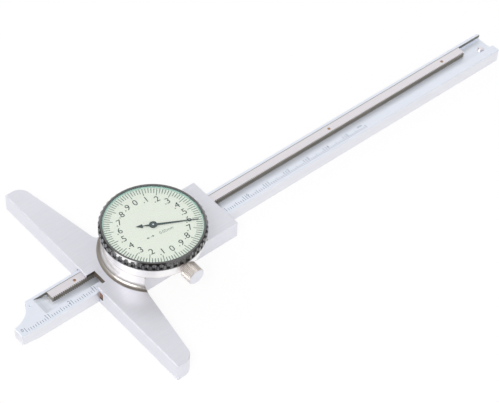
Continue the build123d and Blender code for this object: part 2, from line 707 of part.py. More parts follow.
def wheel_collet():
    collet = post(RACK_ARBOR, COLLET_RADIUS, COLLET_Z, WHEEL_Z)
    return collet - post(RACK_ARBOR, ARBOR_SEAT_RADIUS + PRESS_GAP, COLLET_Z, WHEEL_Z)


def hairpin_spring():
    """Open ring on the backlash wheel that sets the two wheels' teeth against each other."""
    ring = post(RACK_ARBOR, HAIRPIN_RADIUS + HAIRPIN_WIRE / 2, HAIRPIN_Z, HAIRPIN_Z + HAIRPIN_WIRE)
    ring -= post(RACK_ARBOR, HAIRPIN_RADIUS - HAIRPIN_WIRE / 2, HAIRPIN_Z, HAIRPIN_Z + HAIRPIN_WIRE)
    reach = 2 * HAIRPIN_RADIUS
    half_gap = (360 - HAIRPIN_SWEEP) / 2
    mouth = make_face(
        Polyline((0, 0), around((0, 0), reach, -half_gap), around((0, 0), reach, half_gap), close=True)
    )
    return ring - Pos(RACK_ARBOR[0], RACK_ARBOR[1], HAIRPIN_Z) * extrude(mouth, HAIRPIN_WIRE)


def centre_arbor():
    turn = line_of_centres() + 180 + 180 / CENTRE_TEETH
    low = WHEEL_Z - 2 * WHEEL_GAP
    high = HAIRPIN_Z + 2 * WHEEL_GAP
    arbor = gear(DIAL, CENTRE_TEETH, WHEEL_MODULE, turn, low, high)
    arbor += post(DIAL, ARBOR_SEAT_RADIUS, BODY_TOP + BUSH_STAND + WHEEL_GAP, low)
    arbor += post(DIAL, ARBOR_SEAT_RADIUS, high, BRIDGE_Z - WHEEL_GAP)
    return arbor + post(DIAL, ARBOR_RADIUS, SLOT_TOP + WHEEL_GAP, pointer_z() + POINTER_HUB_HEIGHT)


def bush(at, radius, bore, z0, z1):
    return post(at, radius, z0, z1) - post(at, bore + PIVOT_FIT, z0, z1)


def lower_bushes():
    top = BODY_TOP + BUSH_STAND
    return [
        bush(RACK_ARBOR, LOWER_BUSH_RADIUS, ARBOR_RADIUS, SLOT_TOP, top),
        bush(DIAL, CENTRE_BUSH_RADIUS, ARBOR_RADIUS, SLOT_TOP, top),
    ]


def upper_bushes():
    return [
        bush(RACK_ARBOR, UPPER_BUSH_RADIUS, PIVOT_RADIUS, BRIDGE_Z, BRIDGE_TOP),
        bush(DIAL, UPPER_BUSH_RADIUS, ARBOR_RADIUS, BRIDGE_Z, BRIDGE_TOP),
    ]


def pillar_places():
    return [around(DIAL, PILLAR_CIRCLE, a) for a in PILLAR_ANGLES]


def train_bridge():
    corners = make_face(Polyline(*pillar_places(), close=True))
    plate = Pos(0, 0, BRIDGE_Z) * extrude(offset(corners, BRIDGE_MARGIN), BRIDGE_THICKNESS)
    for at in (RACK_ARBOR, DIAL):
        plate -= post(at, UPPER_BUSH_RADIUS + PRESS_GAP, BRIDGE_Z, BRIDGE_TOP)
    for at in pillar_places():
        plate -= post(at, BRIDGE_SCREW_RADIUS + PRESS_GAP, BRIDGE_Z, BRIDGE_TOP)
    return plate


def bridge_pillars():
    return [
        post(at, PILLAR_RADIUS, BODY_TOP, BRIDGE_Z)
        - post(at, BRIDGE_SCREW_RADIUS + PRESS_GAP, BRIDGE_Z - BRIDGE_SCREW_GRIP, BRIDGE_Z)
        for at in pillar_places()
    ]


def bridge_screws():
    grip = BRIDGE_THICKNESS + BRIDGE_SCREW_GRIP
    return [
        screw(at, BRIDGE_SCREW_RADIUS, BRIDGE_SCREW_HEAD, BRIDGE_TOP, BRIDGE_SCREW_HEAD_HEIGHT, grip)
        for at in pillar_places()
    ]


# Pointer group


def pointer_z():
    return DIAL_FACE + POINTER_ABOVE_DIAL


def pointer():
    """Needle with a tapered blade and an arrow-shaped tail."""
    w, t = POINTER_WIDTH / 2, POINTER_TIP_WIDTH / 2
    arrow = ARROW_WIDTH / 2
    neck = -POINTER_TAIL + ARROW_LENGTH
    upper = [(POINTER_LENGTH, t), (0, w), (neck, t), (neck, arrow)]
    lower = [(x, -y) for x, y in reversed(upper)]
    blade = make_face(Polyline(*upper, (-POINTER_TAIL, 0), *lower, close=True))
    blade = Rot(0, 0, POINTER_ANGLE) * (blade + Circle(POINTER_DISC_RADIUS))
    needle = Pos(DIAL[0], DIAL[1], pointer_z()) * extrude(blade, POINTER_THICKNESS)
    return needle - post(DIAL, ARBOR_RADIUS + PRESS_GAP, DIAL_FACE, GLASS_Z)


def pointer_hub():
    z = pointer_z() + POINTER_THICKNESS
    hub = post(DIAL, POINTER_HUB_RADIUS, z, pointer_z() + POINTER_HUB_HEIGHT)
    return hub - post(DIAL, ARBOR_RADIUS + PRESS_GAP, z, GLASS_Z)


NODES = {
    "base_body": base_body,
    "back_cover": back_cover,
    "cover_screws": cover_screws,
    "gib_strip": gib_strip,
    "gib_spring": gib_spring,
    "beam": beam,
    "rack": rack,
    "rack_pins": rack_pins,
    "stop_pin": stop_pin,
    "dial_case": dial_case,
    "case_screws": case_screws,
    "clamp_screw": clamp_screw,
    "bezel": bezel,
    "dial_plate": dial_plate,
    "glass_seal": glass_seal,
    "crystal": crystal,
    "rack_arbor": rack_arbor,
    "drive_wheel": drive_wheel,
    "backlash_wheel": backlash_wheel,
    "wheel_collet": wheel_collet,
    "hairpin_spring": hairpin_spring,
    "centre_arbor": centre_arbor,
    "lower_bushes": lower_bushes,
    "upper_bushes": upper_bushes,
    "train_bridge": train_bridge,
    "bridge_pillars": bridge_pillars,
    "bridge_screws": bridge_screws,
    "pointer": pointer,
    "pointer_hub": pointer_hub,
}

os.makedirs("parts", exist_ok=True)
for name, make in NODES.items():
    shape = make()
    if isinstance(shape, list):
        shape = Compound(children=shape)
    export_step(shape, f"parts/{name}.step")
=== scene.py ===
import math

import bmesh
import bpy
from bpy.props import FloatProperty, FloatVectorProperty, IntProperty, PointerProperty
from bpy.types import Operator, Panel, PropertyGroup
from mathutils import Matrix, Vector


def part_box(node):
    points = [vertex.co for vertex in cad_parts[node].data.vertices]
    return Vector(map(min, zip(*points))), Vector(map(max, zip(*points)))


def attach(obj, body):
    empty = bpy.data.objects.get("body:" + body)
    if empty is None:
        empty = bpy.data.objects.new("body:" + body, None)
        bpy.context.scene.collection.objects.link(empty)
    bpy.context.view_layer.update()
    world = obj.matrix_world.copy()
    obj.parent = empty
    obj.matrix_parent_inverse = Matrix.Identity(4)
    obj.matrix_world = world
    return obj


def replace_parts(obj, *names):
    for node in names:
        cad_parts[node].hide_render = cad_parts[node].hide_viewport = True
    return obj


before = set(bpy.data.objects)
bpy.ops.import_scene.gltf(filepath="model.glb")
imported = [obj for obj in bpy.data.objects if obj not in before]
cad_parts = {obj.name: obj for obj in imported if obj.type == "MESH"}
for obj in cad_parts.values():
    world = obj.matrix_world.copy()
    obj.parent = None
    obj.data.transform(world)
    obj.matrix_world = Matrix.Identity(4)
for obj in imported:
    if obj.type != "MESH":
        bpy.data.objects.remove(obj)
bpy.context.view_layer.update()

bl_info = {
    "name": "Dial depth gauge",
    "version": (1, 0, 0),
    "blender": (4, 5, 0),
    "location": "View3D > Sidebar > Depth gauge",
    "description": "Pieces, finishes, scales and stage of a dial depth gauge",
    "category": "Object",
}

MM = 0.001

# Places that come from the frame, in millimetres
BEAM_LOW, BEAM_HIGH = (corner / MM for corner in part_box("beam"))
BODY_LOW, BODY_HIGH = (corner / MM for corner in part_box("base_body"))
RACK_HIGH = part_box("rack")[1] / MM
PLATE_LOW, PLATE_HIGH = (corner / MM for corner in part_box("dial_plate"))
BEZEL_LOW, BEZEL_HIGH = (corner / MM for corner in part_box("bezel"))
CLAMP_LOW, CLAMP_HIGH = (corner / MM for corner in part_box("clamp_screw"))
DIAL_CENTRE = (PLATE_LOW + PLATE_HIGH) / 2
LAND_Z = BEAM_HIGH.z
GLASS_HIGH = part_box("crystal")[1] / MM
BEZEL_RADIUS = (BEZEL_HIGH.x - BEZEL_LOW.x) / 2
DIAL_RADIUS = (PLATE_HIGH.x - PLATE_LOW.x) / 2

# Sizes in millimetres
SLIP = 0.02  # clearance between bezel and dial, and the shoulder under a flute
STEPS_PER_FLUTE = 12
CHAMFER_STEPS = 4
GIB_ROUNDING = 0.2
ARM_END = 5.0  # length of an arm's end that is flat for sure
ARROW_PARTS = ((0.35, 0.2, 4), (1.1, 0.6, 3))  # bar and head: shift and radius by height, corners

# Where a finish starts and stops on a piece, in millimetres
SKIN = 0.05  # depth that a face's own colour goes down to
# RECESS_ and WINDOW_ places bound the painted shade in the beam's slot and the window
RECESS_SIDES = (-8.4, 6.9)
RECESS_FLOOR = 0.6
RECESS_ROOF = 0.15  # above the beam's land
WINDOW_SIDES = (-5.05, 1.35)
WINDOW_END = 3.65  # behind the measuring face
SEAM_BELOW = 0.1
SEAM_ABOVE = 0.08
# FLARE_BLUR softens the top of the painted dark reflection round the boss's foot
FLARE_BLUR = 1.8
FINE_BLUR = 0.04
# RIM_WALL and RIM_BAND bound the painted shade on the rim's inner wall
RIM_WALL = 0.15  # to each side of the rack's back
RIM_BAND = (1.5, 0.1)  # below the beam's land

# Light of the stage
WHITE = (1.0, 1.0, 1.0, 1.0)
BOX_STOPS = ((0.0, 0.2), (0.38, 0.16), (0.47, 1.0), (0.765, 1.0), (0.82, 0.5), (0.9, 0.3))
STRIP_HEIGHTS = (0.45, 0.74)
LAMP_AIM = (0.0, 0.0, 0.01)
LAMPS = (
    ("key box", (-0.55, -0.35, 0.75), 0.3, 3.2),
    ("fill box", (0.5, -0.6, 0.6), 0.4, 1.0),
    ("back box", (-0.2, 0.8, 0.6), 0.5, 1.2),
)
BENCH_SIZE = 4.0
SEEN_SHARE = 0.9  # how much of the bench the camera sees as plain white


def srgb(red, green, blue):
    """Linear colour of an 8-bit screen colour."""
    shares = (channel / 255 for channel in (red, green, blue))
    return tuple(c / 12.92 if c <= 0.04045 else ((c + 0.055) / 1.055) ** 2.4 for c in shares)


# Settings


def length(name, default, description):
    return FloatProperty(name=name, default=default, min=0.0, description=description + ", in mm")


def place(name, default, description):
    return FloatProperty(name=name, default=default, description=description + ", in mm")


def colour(name, default, description):
    return FloatVectorProperty(
        name=name, subtype="COLOR", size=3, min=0.0, max=1.0, default=default, description=description
    )


def share(name, default, description):
    return FloatProperty(
        name=name, subtype="FACTOR", min=0.0, max=1.0, default=default, description=description
    )


def angle(name, default, description):
    return FloatProperty(
        name=name, subtype="ANGLE", default=math.radians(default), description=description
    )


def level(name, default, least, description):
    return FloatProperty(name=name, default=default, min=least, description=description)


def count(name, default, least, description):
    return IntProperty(name=name, default=default, min=least, description=description)


class GaugeScaleSettings(PropertyGroup):
    """The scale engraved on the beam."""

    zero_from_tip: length("Zero from tip", 2.76, "Distance from the beam's tip to the 0 mark")
    reading: count("Reading", 150, 10, "Last numbered mark, in mm")
    last_mark: count("Last mark", 160, 10, "Last mark of all, in mm")
    unit: length("Unit", 157.9, "Distance from the 0 mark to the unit's middle")
    unit_y: place("Unit place", -3.05, "Y of the unit's middle")
    foot: place("Foot", -5.35, "Y of the marks' outer ends")
    long_mark: length("Long mark", 2.16, "Length of the marks at each 10 mm")
    middle_mark: length("Middle mark", 1.6, "Length of the marks at each 5 mm")
    short_mark: length("Short mark", 1.1, "Length of the other marks")
    line: length("Line", 0.17, "Width of each mark")
    digit_height: length("Digit height", 1.35, "Height of the numbers")
    digit_y: place("Digit place", -3.6, "Y of the numbers' middle")
    digit_shift: length("Digit shift", 1.05, "Distance from a mark to the digit beside it")
    depth: length("Paint", 0.03, "Height of the paint")
    ink: colour("Ink", srgb(116, 126, 148), "Colour of the marks")


class GaugeDialSettings(PropertyGroup):
    """The print on the dial."""

    zero: angle("Zero", 83.0, "Direction of the dial's 0, from +X")
    divisions: count("Divisions", 100, 10, "Marks round the dial")
    marks_per_number: count("Marks per number", 5, 1, "Marks from number to number")
    rim: length("Rim", 17.55, "Radius of the marks' outer ends")
    long_mark: length("Long mark", 3.3, "Length of the numbered marks")
    short_mark: length("Short mark", 2.2, "Length of the other marks")
    line: length("Line", 0.26, "Width of each mark")
    number_radius: length("Number radius", 12.45, "Radius of the numbers' middles")
    number_height: length("Number height", 2.7, "Height of the numbers")
    label_height: length("Label height", 1.25, "Height of the graduation label")
    label_right: place("Label right", 2.7, "How far the label's middle lies to the right of the hub")
    arrows_right: place("Arrows right", -3.7, "How far the arrows' middle lies to the right of the hub")
    arrow_height: length("Arrow height", 0.95, "Height of the small arrows")
    label_down: place("Label down", 4.3, "How far the label's middle lies below the hub")
    depth: length("Paint", 0.03, "Height of the paint")
    mark_ink: colour("Mark ink", srgb(78, 106, 98), "Colour of the marks")
    number_ink: colour("Number ink", srgb(34, 52, 52), "Colour of the numbers")
    label_ink: colour("Label ink", srgb(96, 116, 108), "Colour of the label")


class GaugeFormSettings(PropertyGroup):
    """Forms of the pieces that take the place of CAD ones."""

    flutes: count("Flutes", 48, 3, "Flutes round the bezel")
    flute_width: length("Flute width", 1.5, "Width of each flute")
    flute_depth: length("Flute depth", 0.5, "Depth of each flute")
    flange: length("Flange", 0.5, "Plain ring left under the flutes")
    chamfer: length("Chamfer", 0.75, "Chamfer of the bezel's top edge")
    bezel_bottom: place("Bezel bottom", 18.4, "Height of the bezel's underside")
    sleeve_inner: length("Sleeve's inside", 15.6, "Inner radius of the sleeve")
    sleeve_outer: length("Sleeve's outside", 16.55, "Outer radius of the sleeve")
    dial_lift: length("Dial lift", 0.55, "Height of the printed face above the CAD plate's")
    crystal_edge_shade: length("Seal", 0.28, "Width of the ring under the crystal")
    glass: length("Glass", 0.3, "Thickness of the crystal")
    pointer_gap: length("Pointer gap", 0.15, "From the dial to the pointer")
    pointer_length: length("Pointer length", 16.3, "From the hub to the tip")
    pointer_tail: length("Tail", 6.2, "From the hub to the tail's point")
    pointer_width: length("Pointer width", 0.95, "Width at the hub")
    pointer_tip: length("Tip width", 0.24, "Width at the tip")
    arrow_width: length("Arrow width", 1.7, "Width of the tail's arrow")
    arrow_length: length("Arrow length", 2.4, "Length of the tail's arrow")
    pointer_angle: angle("Pointer angle", -28.3, "Direction at rest, from +X")
    hub_radius: length("Hub", 1.45, "Radius of the hub")
    relief_length: length("Tip relief", 7.0, "How far from the tip the underside starts to rise")
    relief_height: length("Tip relief's height", 1.25, "How far the underside has risen at the tip")
    gib_recess: length("Gib recess", 0.25, "From the measuring face to the gib's end")
    pin_radius: length("Pin", 0.32, "Radius of the arbor's end in the hub")
    hole_radius: length("Dial hole", 1.0, "Radius of the dial's hole for the arbor")


class GaugeFinishSettings(PropertyGroup):
    """Colours and gloss of the parts, with painted shade and painted reflection on some of them."""

    steel: colour("Ground steel", srgb(226, 226, 234), "Base and stem")
    polish: colour("Polished steel", srgb(251, 249, 250), "Boss and dial case")
    beam: colour("Beam", srgb(234, 239, 249), "Land, channel and rim of the beam")
    # Painted shade on the rim's inner wall beside the rack
    rim_wall_shade: colour("Rim's wall", srgb(122, 121, 112), "Inner wall of the rim, beside the rack")
    beam_side: colour("Beam's sides", srgb(230, 230, 237), "Sides and ends of the beam")
    rack: colour("Rack", srgb(228, 224, 228), "Ground top of the rack")
    pins: colour("Rack pins", srgb(172, 138, 108), "Pins of the rack")
    # Painted shade of the rack's hobbed side and its tooth gaps
    teeth_shade: colour("Teeth", srgb(172, 166, 156), "Hobbed side of the rack")
    # Painted shade inside the beam's slot and the window
    recess_shade: colour("Recess", srgb(120, 110, 100), "Milled walls that were not ground")
    # Painted dark reflection round the foot of the boss, and its height
    flare_reflection: colour("Flare", srgb(146, 139, 131), "Turned foot of the boss")
    flare_reflection_height: length("Flare's height", 1.15, "Height of the boss's turned foot")
    seam: colour("Seam", srgb(188, 168, 138), "Joint between boss and dial case")
    knurl: colour("Knurl", srgb(228, 220, 214), "Clamp screw")
    bezel: colour("Bezel", srgb(16, 15, 15), "Black bezel")
    dial: colour("Dial", srgb(226, 230, 219), "Dial plate")
    # Painted shade and crystal-edge tint on the ring under the crystal
    crystal_edge_shade: colour("Seal", srgb(176, 214, 204), "Ring under the crystal")
    crystal: colour("Crystal", srgb(222, 242, 236), "Tint of the crystal")
    pointer: colour("Pointer", srgb(16, 40, 44), "Pointer and its hub")
    bronze: colour("Bronze", srgb(184, 130, 84), "Gib and bushes")
    brass: colour("Brass", srgb(208, 178, 112), "Train bridge and wheels")
    steel_roughness: share("Steel roughness", 0.38, "Roughness of the ground steel")
    polish_roughness: share("Polish roughness", 0.12, "Roughness of the polished steel")
    # Count of the painted light and shade stripes round the clamp screw
    shaded_ridges: count("Ridges", 40, 1, "Ridges of the clamp screw's knurl")
    brushing: share("Brushing", 0.14, "Strength of the brushed lines")


class GaugeStageSettings(PropertyGroup):
    """Camera, lamps and backdrop."""

    azimuth: angle("Azimuth", -43.67, "Camera's direction round the gauge")
    elevation: angle("Elevation", 47.85, "Camera's height over the bench")
    roll: angle("Roll", 4.16, "Camera's roll")
    lens: FloatProperty(
        name="Lens", default=134.63, min=10.0, subtype="DISTANCE_CAMERA", description="Focal length"
    )
    eye: FloatVectorProperty(
        name="Eye",
        size=3,
        subtype="TRANSLATION",
        default=(-0.27523, -0.33999, 0.51534),
        description="Camera's place",
    )
    floor: colour("Floor", srgb(255, 255, 255), "Bench and backdrop")
    ambient: share("Ambient", 0.7, "Strength of the light from all round")
    boxes: level("Soft boxes", 1.12, 0.0, "Brightness of the reflected boxes")
    gap: colour("Gap", srgb(66, 62, 58), "Dark gap between the soft boxes")
    gap_azimuth: angle("Gap's direction", 231.0, "Direction of the gap, from +X")
    gap_width: angle("Gap's width", 52.0, "Width of the gap")
    strip: level("Strip", 7.0, 1.0, "How much brighter the strip lamp is")
    strip_azimuth: angle("Strip's direction", 176.0, "Direction of the strip lamp, from +X")
    strip_width: angle("Strip's width", 44.0, "Width of the strip lamp")


def settings():
    return bpy.context.scene.depth_gauge


def dial_z():
    """Height of the dial's printed face."""
    return PLATE_HIGH.z + settings().form.dial_lift


class GaugeSettings(PropertyGroup):
    """All settings of the gauge."""

    scale: PointerProperty(type=GaugeScaleSettings)
    form: PointerProperty(type=GaugeFormSettings)
    dial: PointerProperty(type=GaugeDialSettings)
    finish: PointerProperty(type=GaugeFinishSettings)
    stage: PointerProperty(type=GaugeStageSettings)


# Shader maths


class Field:
    """A shader socket that Python's operators work on."""

    def __init__(self, tree, socket=None):
        self.tree = tree
        self.socket = socket

    def node(self, kind, choices=None, inputs=None, output=0):
        """New node of a kind, with its choices set first and then its sockets' values or links."""
        made = self.tree.nodes.new(kind)
        for name, choice in (choices or {}).items():
            if name == "stops":
                set_stops(made.color_ramp, choice)
            else:
                setattr(made, name, choice)
        for name, value in (inputs or {}).items():
            if isinstance(value, Field):
                self.tree.links.new(value.socket, made.inputs[name])
            else:
                made.inputs[name].default_value = value
        return Field(self.tree, made.outputs[output] if made.outputs else None)

    def math(self, operation, *others, clamp=False):
        values = dict(enumerate((self, *others)))
        return self.node("ShaderNodeMath", {"operation": operation, "use_clamp": clamp}, values)

    def __add__(self, other):
        return self.math("ADD", other)

    def __sub__(self, other):
        return self.math("SUBTRACT", other)

    def __mul__(self, other):
        return self.math("MULTIPLY", other)

    def __truediv__(self, other):
        return self.math("DIVIDE", other)

    def __rsub__(self, other):
        return self * -1.0 + other

    __radd__ = __add__
    __rmul__ = __mul__

    def above(self, edge, blur=0.05):
        """1 where the value is above an edge, 0 below it, soft over the blur."""
        return (self - (edge - blur / 2)).math("DIVIDE", blur, clamp=True)

    def between(self, low, high, blur=0.05):
        return self.above(low, blur) * (1 - self.above(high, blur))

    def mix(self, first, second):
        """Colour that is first where this value is 0 and second where it is 1."""
        colours = [c if isinstance(c, Field) else (*c, 1.0) for c in (first, second)]
        inputs = {0: self, 6: colours[0], 7: colours[1]}
        return self.node("ShaderNodeMix", {"data_type": "RGBA"}, inputs, output=2)


def set_stops(ramp, stops):
    """Gives a colour ramp its stops: places with grey levels."""
    while len(ramp.elements) < len(stops):
        ramp.elements.new(0.5)
    for element, (position, grey) in zip(ramp.elements, stops):
        element.position = position
        element.color = (grey, grey, grey, 1.0)


class Finish:
    """A material with its Principled shader and the place on the object in millimetres."""

    def __init__(self, name):
        self.material = bpy.data.materials.new(name)
        self.material.use_nodes = True
        self.tree = self.material.node_tree
        self.shader = self.tree.nodes["Principled BSDF"]
        self.start = Field(self.tree)
        coordinates = self.start.node("ShaderNodeTexCoord", output=3)
        scaled = {0: coordinates, "Scale": 1 / MM}
        self.place = self.start.node("ShaderNodeVectorMath", {"operation": "SCALE"}, scaled)
        self.x, self.y, self.z = (
            self.start.node("ShaderNodeSeparateXYZ", inputs={0: self.place}, output=i) for i in range(3)
        )

    def noise(self, scales, detail=3.0):
        """Noise with so many features per millimetre along each axis, about 0.5."""
        where = self.start.node("ShaderNodeMapping", inputs={"Vector": self.place, "Scale": scales})
        inputs = {"Vector": where, "Scale": 1.0, "Detail": detail, "Roughness": 0.6}
        return self.start.node("ShaderNodeTexNoise", inputs=inputs)

    def tint(self, colour_value, shade):
        """Colour times a shade that varies."""
        grey = self.start.node("ShaderNodeCombineColor", inputs={0: shade, 1: shade, 2: shade})
        base = colour_value if isinstance(colour_value, Field) else (*colour_value, 1.0)
        inputs = {0: 1.0, 6: base, 7: grey}
        choices = {"data_type": "RGBA", "blend_type": "MULTIPLY"}
        return self.start.node("ShaderNodeMix", choices, inputs, output=2)

    def bump(self, height, strength, distance):
        inputs = {"Strength": strength, "Distance": distance * MM, "Height": height}
        return self.start.node("ShaderNodeBump", inputs=inputs)

    def set(self, **values):
        """Sets or links the shader's sockets, named in lower case with _ for spaces."""
        for name, value in values.items():
            socket = self.shader.inputs[name.replace("_", " ").title().replace("Ior", "IOR")]
            if isinstance(value, Field):
                self.tree.links.new(value.socket, socket)
            elif hasattr(value, "__len__") and len(value) == 3:
                socket.default_value = (*value, 1.0)
            else:
                socket.default_value = value
        return self

    def put_on(self, *nodes):
        for node in nodes:
            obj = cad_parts.get(node) or bpy.data.objects[node]
            obj.data.materials.clear()
            obj.data.materials.append(self.material)
        return self


BRUSH_ALONG_X = (0.05, 4.5, 4.5)
BRUSH_FINE = (0.25, 11.0, 11.0)


def brushed(finish, colour_value, roughness, strength, scales=BRUSH_ALONG_X):
    """Colour, roughness and bump of ground metal with lines along one axis."""
    lines = finish.noise(scales)
    fine = finish.noise(tuple(3 * s for s in scales), detail=2.0)
    cloud = finish.noise((0.06, 0.06, 0.06), detail=2.0)
    shade = 1 + (lines - 0.5) * strength + (fine - 0.5) * strength + (cloud - 0.5) * strength / 2
    finish.set(
        base_color=finish.tint(colour_value, shade),
        roughness=roughness + (lines - 0.5) * strength + (cloud - 0.5) * strength / 2,
        normal=finish.bump(lines + fine / 2, strength, 0.01),
    )
    return finish


# Pieces


def new_piece(name, bm, body, finish=None):
    """Object at the origin from a bmesh in millimetres, riding on a body."""
    bmesh.ops.scale(bm, vec=(MM, MM, MM), verts=bm.verts)
    bmesh.ops.recalc_face_normals(bm, faces=bm.faces)
    mesh = bpy.data.meshes.new(name)
    bm.to_mesh(mesh)
    bm.free()
    piece = bpy.data.objects.new(name, mesh)
    bpy.context.scene.collection.objects.link(piece)
    if finish:
        finish.put_on(name)
    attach(piece, body)
    return piece


def add_bar(bm, start, end, width, low, high):
    """Straight painted line between two points in plan."""
    run = Vector(end) - Vector(start)
    middle = (Vector(start) + Vector(end)) / 2
    turn = Matrix.Rotation(math.atan2(run.y, run.x), 4, "Z")
    size = Matrix.Diagonal((run.length, width, high - low, 1.0))
    where = Matrix.Translation((middle.x, middle.y, (low + high) / 2))
    bmesh.ops.create_cube(bm, size=1.0, matrix=where @ turn @ size)


def spun(points, steps=128):
    """Ring or disc round the dial's axis from a closed (radius, height) outline."""
    bm = bmesh.new()
    verts = [bm.verts.new((DIAL_CENTRE.x + r, DIAL_CENTRE.y, z)) for r, z in points]
    edges = [bm.edges.new(pair) for pair in zip(verts, verts[1:] + verts[:1])]
    axis = (DIAL_CENTRE.x, DIAL_CENTRE.y, 0.0)
    full = {"cent": axis, "axis": (0, 0, 1), "angle": 2 * math.pi, "steps": steps, "use_merge": True}
    bmesh.ops.spin(bm, geom=verts + edges, **full)
    bmesh.ops.remove_doubles(bm, verts=bm.verts, dist=1e-5)
    return bm


def ring(inner, outer, low, high, steps=128):
    return spun([(inner, low), (outer, low), (outer, high), (inner, high)], steps)


def add_slab(bm, points, low, high):
    """Flat piece of a height from an outline in plan."""
    face = bm.faces.new([bm.verts.new((x, y, low)) for x, y in points])
    raised = bmesh.ops.extrude_face_region(bm, geom=[face])["geom"]
    moved = [item for item in raised if isinstance(item, bmesh.types.BMVert)]
    bmesh.ops.translate(bm, vec=(0, 0, high - low), verts=moved)


CAP_SHARE = 0.729  # height of a capital or a digit in Blender's own font, of the font's size


def add_text(bm, words, at, height, low, high, turn=0.0):
    """Painted text, centred on a place in plan."""
    curve = bpy.data.curves.new("text", "FONT")
    curve.body = words
    curve.size = height / CAP_SHARE
    curve.align_x = "CENTER"
    curve.extrude = (high - low) / 2
    curve.resolution_u = 4
    writing = bpy.data.objects.new("text", curve)
    bpy.context.scene.collection.objects.link(writing)
    bpy.context.view_layer.update()
    mesh = bpy.data.meshes.new_from_object(writing)
    drop = Matrix.Translation((0, -height / 2, 0))
    where = Matrix.Translation((at[0], at[1], (low + high) / 2))
    mesh.transform(where @ Matrix.Rotation(turn, 4, "Z") @ drop)
    bm.from_mesh(mesh)
    bpy.data.objects.remove(writing)
    bpy.data.curves.remove(curve)
    bpy.data.meshes.remove(mesh)


def ink(name, colour_value):
    """Matt printing ink, a little uneven."""
    finish = Finish(name)
    patches = finish.noise((3.0, 3.0, 3.0))
    return finish.set(
        base_color=finish.tint(colour_value, 0.94 + patches * 0.12),
        roughness=0.5 + patches * 0.1,
        specular_ior_level=0.3,
    )


class GAUGE_OT_beam_scale(Operator):
    """Engrave the millimetre scale on the beam's land"""

    bl_idname = "gauge.beam_scale"
    bl_label = "Beam scale"

    def execute(self, context):
        scale = settings().scale
        low, high = LAND_Z - scale.depth / 2, LAND_Z + scale.depth / 2
        zero = BEAM_LOW.x + scale.zero_from_tip
        marks = bmesh.new()
        numbers = bmesh.new()
        for reading in range(scale.last_mark + 1):
            size = scale.short_mark
            if reading % 10 == 0 and reading <= scale.reading:
                size = scale.long_mark
            elif reading % 5 == 0:
                size = scale.middle_mark
            x = zero + reading
            add_bar(marks, (x, scale.foot), (x, scale.foot + size), scale.line, low, high)
            if reading % 10 == 0 and reading <= scale.reading:
                self.number(numbers, x, str(reading // 10), scale, low, high)
        add_text(numbers, "mm", (zero + scale.unit, scale.unit_y), scale.digit_height * 0.8, low, high)
        paint = ink("scale ink", scale.ink)
        new_piece("beam_marks", marks, "beam_unit", paint)
        new_piece("beam_numbers", numbers, "beam_unit", paint)
        return {"FINISHED"}

    @staticmethod
    def number(bm, x, digits, scale, low, high):
        """A mark's number: the last of two digits stands on the mark's other side."""
        for digit, side in zip(digits, (-1, 1)):
            at = (x + side * scale.digit_shift, scale.digit_y)
            add_text(bm, digit, at, scale.digit_height, low, high)


class GAUGE_OT_bezel_piece(Operator):
    """Make the bezel with its flutes and plain flange"""

    bl_idname = "gauge.bezel_piece"
    bl_label = "Fluted bezel"

    def execute(self, context):
        form = settings().form
        low, top, radius = form.bezel_bottom, BEZEL_HIGH.z, BEZEL_RADIUS
        step = low + form.flange
        slope = top - form.chamfer
        seat = DIAL_RADIUS + SLIP
        rise = form.flute_depth / CHAMFER_STEPS
        chamfer = [(radius - i * rise, slope + i * rise) for i in range(CHAMFER_STEPS + 1)]
        outline = [
            (form.sleeve_inner, BEZEL_LOW.z),
            (form.sleeve_outer, BEZEL_LOW.z),
            (form.sleeve_outer, low),
            (radius, low),
            (radius, step),
            (radius, step + SLIP),
            *chamfer,
            (radius - form.chamfer, top),
            (seat, top),
            (seat, PLATE_LOW.z),
            (form.sleeve_inner, PLATE_LOW.z),
        ]
        bm = spun(outline, form.flutes * STEPS_PER_FLUTE)
        for vert in bm.verts:
            self.cut(vert, form, step)
        piece = new_piece("bezel_ring", bm, "bezel_unit")
        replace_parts(piece, "bezel")
        return {"FINISHED"}

    @staticmethod
    def cut(vert, form, step):
        """Moves a vertex in where it lies in a flute."""
        arm = vert.co.xy - DIAL_CENTRE.xy
        if vert.co.z < step + SLIP / 2 or arm.length < BEZEL_RADIUS - form.flute_depth - SLIP / 2:
            return
        pitch = 2 * math.pi / form.flutes
        off = (math.atan2(arm.y, arm.x) / pitch + 0.5) % 1.0 - 0.5
        across = abs(off) * pitch * BEZEL_RADIUS / (form.flute_width / 2)
        if across < 1.0:
            floor = BEZEL_RADIUS - form.flute_depth * math.sqrt(1 - across**2)
            vert.co.xy = DIAL_CENTRE.xy + arm.normalized() * min(arm.length, floor)


